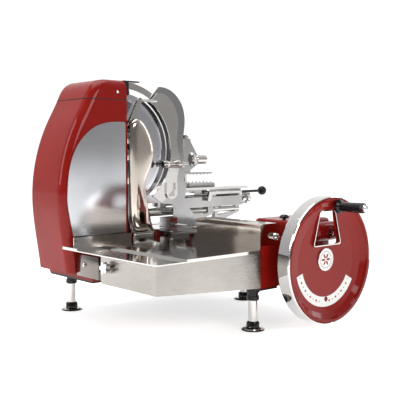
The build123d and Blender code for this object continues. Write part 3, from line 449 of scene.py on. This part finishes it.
def spin_profile(form, profile, origin, axis, radial, steps=64, sweep=360.0):
    """Spin (radius, along) points in millimetres round an axis, closed if the sweep is full."""
    axis = Vector(axis).normalized()
    radial = Vector(radial).normalized()
    verts = [form.verts.new(origin + radial * r / 1000 + axis * a / 1000) for r, a in profile]
    edges = [form.edges.new(pair) for pair in zip(verts, verts[1:])]
    full = sweep >= 360.0
    bmesh.ops.spin(form, geom=verts + edges, cent=origin, axis=axis, angle=math.radians(sweep),
                   steps=steps, use_merge=full, use_duplicate=False)
    bmesh.ops.remove_doubles(form, verts=form.verts, dist=1e-6)


def rounded_block(form, low, high, radius, segments=3):
    """A box between two corners with its edges rounded."""
    middle = (low + high) / 2
    size = high - low
    made = bmesh.ops.create_cube(form, size=1.0)
    bmesh.ops.scale(form, vec=size, verts=made["verts"])
    bmesh.ops.translate(form, vec=middle, verts=made["verts"])
    edges = list({edge for vert in made["verts"] for edge in vert.link_edges})
    bmesh.ops.bevel(form, geom=edges, offset=radius, affect="EDGES", segments=segments,
                    profile=0.5, material=-1)


print("helpers ready")

# %% [markdown]
# The flywheel's face carries a curved ribbon of white enamel, raised by less than a
# millimetre. On the real machine such a ribbon names the maker, and here it stays plain. A
# ribbon that follows the dished face is a short piece of the face's own profile, spun
# through part of a turn and then given thickness.

# %% Ribbon on the flywheel
RIBBON_START = 196.0
RIBBON_SWEEP = 134.0


def wheel_direction(degrees):
    """A direction in the wheel's plane, counted anticlockwise from the operator's right."""
    return Vector((math.cos(math.radians(degrees)), 0, math.sin(math.radians(degrees))))


def face_ribbon(name, inner, outer, rise, start, sweep, material):
    """A ribbon on the dished face between two radii, a little in front of it."""
    form = bmesh.new()
    profile = []
    for step in range(5):
        radius = inner + (outer - inner) * step / 4
        depth = 25 - 3 * (radius - 60) / 60 if radius < 120 else 22 - 5 * (radius - 120) / 30
        profile.append((radius, depth - rise))
    spin_profile(form, profile, wheel_centre, (0, -1, 0), wheel_direction(start), 72, sweep)
    for vert in form.verts:
        vert.co.y = 2 * wheel_centre.y - vert.co.y
    bmesh.ops.recalc_face_normals(form, faces=form.faces)
    bmesh.ops.solidify(form, geom=form.faces[:], thickness=0.0006)
    return add_piece(name, form, material, "flywheel")


face_ribbon("wheel_ribbon", 105, 133, 1.0, RIBBON_START, RIBBON_SWEEP, white_enamel)

# %% [markdown]
# The window through the flywheel has a bright frame. Its outline is one face whose corners
# are bevelled, and the frame is what an inset leaves when the middle is taken away.

# %% Window frame
window_form = bmesh.new()
corners = [(-61, 40), (61, 40), (33, 140), (-33, 140)]
places = [wheel_centre + Vector((x, 23, z)) / 1000 for x, z in corners]
window_form.faces.new([window_form.verts.new(place) for place in places])
bmesh.ops.bevel(window_form, geom=window_form.verts[:], offset=0.009, affect="VERTICES", segments=6,
                profile=0.5, material=-1)
window_form.faces.ensure_lookup_table()
outer_face = window_form.faces[0]
bmesh.ops.inset_region(window_form, faces=[outer_face], thickness=0.0028, use_boundary=True,
                        use_even_offset=True)
bmesh.ops.delete(window_form, geom=[outer_face], context="FACES")
raised = bmesh.ops.extrude_face_region(window_form, geom=window_form.faces[:])
moved = [item for item in raised["geom"] if isinstance(item, bmesh.types.BMVert)]
bmesh.ops.translate(window_form, vec=(0, -0.006, 0), verts=moved)
add_piece("window_frame", window_form, mirror_steel, "flywheel")

# %% [markdown]
# A ring round the badge and a small cap below it finish the middle of the wheel.

# %% Badge ring and lower boss
ring_form = bmesh.new()
ring_edge = [(28.5, 22.6), (28.5, 21.8), (31.5, 21.8), (32.5, 22.8), (32.5, 25.9), (31.6, 25.9)]
spin_profile(ring_form, ring_edge, wheel_centre, AWAY, ACROSS, 72)
add_piece("badge_ring", ring_form, rim_steel, "flywheel")
boss_form = bmesh.new()
boss_centre = wheel_centre + Vector((0, 0, -0.112))
boss_edge = [(0, 17.5), (4, 18), (6.5, 20), (7, 24)]
spin_profile(boss_form, boss_edge, boss_centre, AWAY, ACROSS, 32)
add_piece("wheel_lower_boss", boss_form, red_enamel, "flywheel")

# %% [markdown]
# A plain ribbon looks bare next to the enamel, so it carries an ornament of small red
# diamonds, large and small in turn, between two screws. Each diamond is a low four-sided cone
# without its tip. They stand on the ribbon's middle radius, turned to follow it.

# %% Ribbon ornament
RIBBON_MIDDLE = 119.0
RIBBON_FRONT = 21.2


def wheel_spot(radius, degrees, depth):
    """A place on the wheel's face from a radius, an angle and a depth, in millimetres."""
    return wheel_centre + wheel_direction(degrees) * radius / 1000 + Vector((0, depth / 1000, 0))


def stud(form, place, radius, height, sides, turn=0.0, squash=1.0):
    """A low stud that faces the operator, drawn out along the ribbon by squash."""
    made = bmesh.ops.create_cone(form, cap_ends=True, segments=sides, radius1=radius,
                                 radius2=radius * 0.7, depth=height)
    stretch = Matrix.Diagonal((squash, 1, 1, 1))
    tilt = Matrix.Rotation(math.radians(90), 4, "X")
    spin_it = Matrix.Rotation(-turn, 4, "Y")
    placing = Matrix.Translation(place) @ spin_it @ tilt @ stretch
    bmesh.ops.transform(form, matrix=placing, verts=made["verts"])


ornament_form = bmesh.new()
for step in range(17):
    angle = RIBBON_START + 11 + step * (RIBBON_SWEEP - 22) / 16
    if abs(angle - 264) < 5:
        continue
    wide = 0.0044 if step % 2 == 0 else 0.0024
    stud(ornament_form, wheel_spot(RIBBON_MIDDLE, angle, RIBBON_FRONT - 0.2), wide, 0.0006, 4,
         math.radians(angle + 90), 1.25)
add_piece("ribbon_ornament", ornament_form, red_enamel, "flywheel", smooth=False)

screws_form = bmesh.new()
for angle in (RIBBON_START + 4, RIBBON_START + RIBBON_SWEEP - 4):
    place = wheel_spot(RIBBON_MIDDLE, angle, 20.9)
    made = bmesh.ops.create_uvsphere(screws_form, u_segments=16, v_segments=8, radius=0.0028)
    bmesh.ops.scale(screws_form, vec=(1, 0.45, 1), verts=made["verts"])
    bmesh.ops.translate(screws_form, vec=place, verts=made["verts"])
add_piece("ribbon_screws", screws_form, rim_steel, "flywheel")

# %% [markdown]
# The badge is a blank disc with a thin red ring and a small six-petal flower, drawn with
# flattened spheres, so that the middle of the wheel is finished without any mark.

# %% Badge
badge_form = bmesh.new()
badge_line = [(22.6, 22.95), (22.6, 22.7), (23.6, 22.7), (23.6, 22.95)]
spin_profile(badge_form, badge_line, wheel_centre, AWAY, ACROSS, 72)
for petal in range(6):
    turn = Matrix.Rotation(math.radians(60 * petal), 3, "Y")
    made = bmesh.ops.create_uvsphere(badge_form, u_segments=16, v_segments=8, radius=0.005)
    bmesh.ops.scale(badge_form, vec=(1.5, 0.1, 0.62), verts=made["verts"])
    bmesh.ops.translate(badge_form, vec=(0.011, 0, 0), verts=made["verts"])
    bmesh.ops.rotate(badge_form, cent=(0, 0, 0), matrix=turn, verts=made["verts"])
    bmesh.ops.translate(badge_form, vec=wheel_centre + Vector((0, 0.0229, 0)), verts=made["verts"])
add_piece("badge_flower", badge_form, red_enamel, "flywheel")

# %% [markdown]
# The cover over the blade's bearing and chain is one pressed shell: round at the top, drawn
# in at a neck, then a leg down to a seamed collar. It is crowned, like a cushion of steel.
# Its outline is one face, near the CAD part's own edge. Each inset step moves the middle a
# little further forward, and the steps follow a quarter circle, so the shell gets a round
# shoulder and a gently domed front. Subdivision smooths what the steps leave.

# %% Neck cover
COVER_OUTLINE = [
    (-111.5, 572), (-102, 588), (-90, 597), (-75, 597), (-58, 586), (-42, 565), (-30, 540),
    (-23, 520), (-19, 497), (-21, 472), (-29, 448), (-42, 424), (-52, 406), (-53, 388),
    (-49, 370), (-44, 350), (-41, 330), (-40, 300), (-40, 284), (-34, 270), (-27, 262),
    (-26.5, 250), (-60, 250), (-103, 250), (-107, 330), (-109.5, 420), (-111.5, 500),
]
COVER_STEPS = [(2.0, 5.0), (3.0, 3.6), (4.5, 2.6), (6.0, 1.5), (7.0, 0.8)]
cover_form = bmesh.new()
rim_verts = [cover_form.verts.new(spot(x, 524.6, z)) for x, z in COVER_OUTLINE]
cover_face = cover_form.faces.new(rim_verts)
raised = bmesh.ops.extrude_face_region(cover_form, geom=[cover_face])
cover_face = [item for item in raised["geom"] if isinstance(item, bmesh.types.BMFace)][0]
front_verts = list(cover_face.verts)
bmesh.ops.translate(cover_form, vec=(0, -0.005, 0), verts=front_verts)
for inward, forward in COVER_STEPS:
    bmesh.ops.inset_region(cover_form, faces=[cover_face], thickness=inward / 1000,
                           use_boundary=True, use_even_offset=True)
    bmesh.ops.translate(cover_form, vec=(0, -forward / 1000, 0), verts=list(cover_face.verts))
bmesh.ops.triangulate(cover_form, faces=[cover_face])
# The shell takes the warm-tinted steel, a painted warm reflection.
neck_cover = add_piece("neck_cover_shell", cover_form, warm_reflection_and_brass_steel, "base")
rounding = neck_cover.modifiers.new("rounding", "SUBSURF")
rounding.levels = 2
rounding.render_levels = 2
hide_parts("hub_cover")
collar_form = bmesh.new()
rounded_block(collar_form, spot(-104, 505.4, 205), spot(-26, 524.6, 248.5), 0.006, 4)
rounded_block(collar_form, spot(-104.5, 504.9, 247.5), spot(-25.5, 524.6, 250.5), 0.001, 2)
add_piece("neck_collar", collar_form, mirror_steel, "base")

# %% [markdown]
# The base's raised left end is closed by a polished plate that wraps its front and its left
# side, held by one brass bolt. The plate's dark steel is painted shade under the tray. Two thin
# rounded plates make the corner.

# %% Skirt under the tray
skirt_low = spot(-303, 397, 143)
skirt_high = spot(-300.3, 510, 205)
skirt_form = bmesh.new()
rounded_block(skirt_form, skirt_low, skirt_high, 0.0008, 2)
rounded_block(skirt_form, skirt_low, spot(-110, 399.6, 205), 0.0008, 2)
# Painted shade: the skirt takes the darkened steel.
add_piece("base_skirt", skirt_form, painted_shade_steel, "base")
bolt_form = bmesh.new()
bolt_edge = [(0, -6), (4, -5.6), (6, -4), (6.5, 0), (9, 0.2), (9, 1.5)]
spin_profile(bolt_form, bolt_edge, spot(-303, 470, 178), ACROSS, UP, 32)
add_piece("skirt_bolt", bolt_form, warm_reflection_and_brass_steel, "base")

# %% [markdown]
# Each foot has black rings: one at the top of the chromed tube, one where it screws into its
# pad, and a rubber ring round the pad's edge. The rings are small lathe profiles at the four
# places of the feet on the plan.

# %% Foot rings
FOOT_CENTRES = [(31, 134), (313, 454), (290, 696), (-208, 696)]
pad_joint = [(16.2, 9.3), (18.5, 10), (18.5, 20), (16.5, 24), (13.2, 25.5), (13.2, 23)]
pad_edge = [(31.7, 0.4), (32.6, 1.0), (32.6, 3.4), (31.2, 4.4)]
tube_top = [(13.1, 84), (16, 84.5), (17.5, 88), (17.5, 96.2), (13.1, 96.2)]
ring_form = bmesh.new()
for foot_x, foot_y in FOOT_CENTRES:
    centre = spot(foot_x, foot_y, 0)
    spin_profile(ring_form, pad_joint, centre, UP, ACROSS, 40)
    spin_profile(ring_form, pad_edge, centre, UP, ACROSS, 48)
    spin_profile(ring_form, tube_top, centre, UP, ACROSS, 40)
add_piece("foot_rings", ring_form, black_plastic, "base")

# %% [markdown]
# Between the red casing and the neck cover runs a narrow slot with the hinges of the
# inner lid in it: three small polished barrels on one plate. A near-black block in the slot
# is painted shade for the shadow deep in the gap. Cylinders spun from short profiles, set
# one above another, are enough.

# %% Slot and hinges beside the casing
# Painted shade: the near-black block stands for the shadow deep in the slot.
slot_form = bmesh.new()
rounded_block(slot_form, spot(-117.4, 522, 252), spot(-112.6, 528, 590), 0.0008, 2)
add_piece("slot_shade_fill", slot_form, joint_black_and_slot_shade, "base")
hinge_form = bmesh.new()
for low, high in ((398, 432), (470, 500), (520, 552)):
    barrel = [(0, low), (2.2, low), (2.4, low + 1), (2.4, high - 1), (2.2, high), (0, high)]
    spin_profile(hinge_form, barrel, spot(-115, 519.3, 0), UP, ACROSS, 24)
add_piece("casing_hinges", hinge_form, mirror_steel, "base")

# %% [markdown]
# A dark joint runs round the casing where the cap meets the body. A copy of the cap's mesh,
# cut by two level planes close together, leaves just that band, and solidify lifts it a hair
# off the enamel.

# %% Joint round the casing
SEAM_HEIGHT = 0.6485
SEAM_WIDTH = 0.0022
seam_form = bmesh.new()
seam_form.from_mesh(nodes["casing_cap"].data)
bmesh.ops.remove_doubles(seam_form, verts=seam_form.verts, dist=1e-6)
for height, side in ((SEAM_HEIGHT, -1), (SEAM_HEIGHT + SEAM_WIDTH, 1)):
    everything = seam_form.verts[:] + seam_form.edges[:] + seam_form.faces[:]
    bmesh.ops.bisect_plane(seam_form, geom=everything, plane_co=(0, 0, height),
                           plane_no=(0, 0, side), clear_outer=True)
print("joint cut to", len(seam_form.faces), "faces")
seam_form.normal_update()
bmesh.ops.recalc_face_normals(seam_form, faces=seam_form.faces)
bmesh.ops.solidify(seam_form, geom=seam_form.faces[:], thickness=-0.0004)
add_piece("casing_joint", seam_form, joint_black_and_slot_shade, "casing_cap")

# %% [markdown]
# Through the window of the wheel the housing shows a red rounded nose with a bright plug in a
# dark collar. The nose is a block with wide rounded edges, and the plug is turned.

# %% Nose of the wheel housing
PLUG_CENTRE = spot(279, 66, 258)
seat_edge = [(0, -4), (15, -4), (17, -2), (17, 8)]
collar_edge = [(0, -6), (9, -6), (10, -5), (10, 0)]
plug_edge = [(0, -12), (4, -11.6), (6, -10), (6, 0)]
nose_form = bmesh.new()
rounded_block(nose_form, spot(222, 66, 234), spot(336, 112, 290), 0.020, 6)
spin_profile(nose_form, seat_edge, PLUG_CENTRE, AWAY, ACROSS, 40)
add_piece("housing_nose", nose_form, red_enamel, "base")
collar_ring_form = bmesh.new()
spin_profile(collar_ring_form, collar_edge, PLUG_CENTRE, AWAY, ACROSS, 32)
add_piece("nose_collar", collar_ring_form, black_plastic, "base")
plug_form = bmesh.new()
spin_profile(plug_form, plug_edge, PLUG_CENTRE, AWAY, ACROSS, 32)
add_piece("nose_plug", plug_form, mirror_steel, "base")

# %% [markdown]
# Two small fixings finish the covers: a domed screw on the cap and a black end on the
# guard's handle.

# %% Small fixings
dome = [(0, -2.4), (2.4, -2.0), (4.2, -0.8), (4.6, 0.0), (4.6, 0.6)]
cap_screw_form = bmesh.new()
spin_profile(cap_screw_form, dome, spot(-150, 520, 672), AWAY, ACROSS, 32)
add_piece("cap_screw", cap_screw_form, mirror_steel, "casing_cap")
tip_form = bmesh.new()
tip_edge = [(0, -1.5), (5, -1.3), (9.5, 0.0), (10.8, 2.0), (11.4, 3.4)]
spin_profile(tip_form, tip_edge, spot(19, 521, 456), ACROSS, UP, 40)
add_piece("guard_handle_tip", tip_form, black_plastic, "guard_handle")
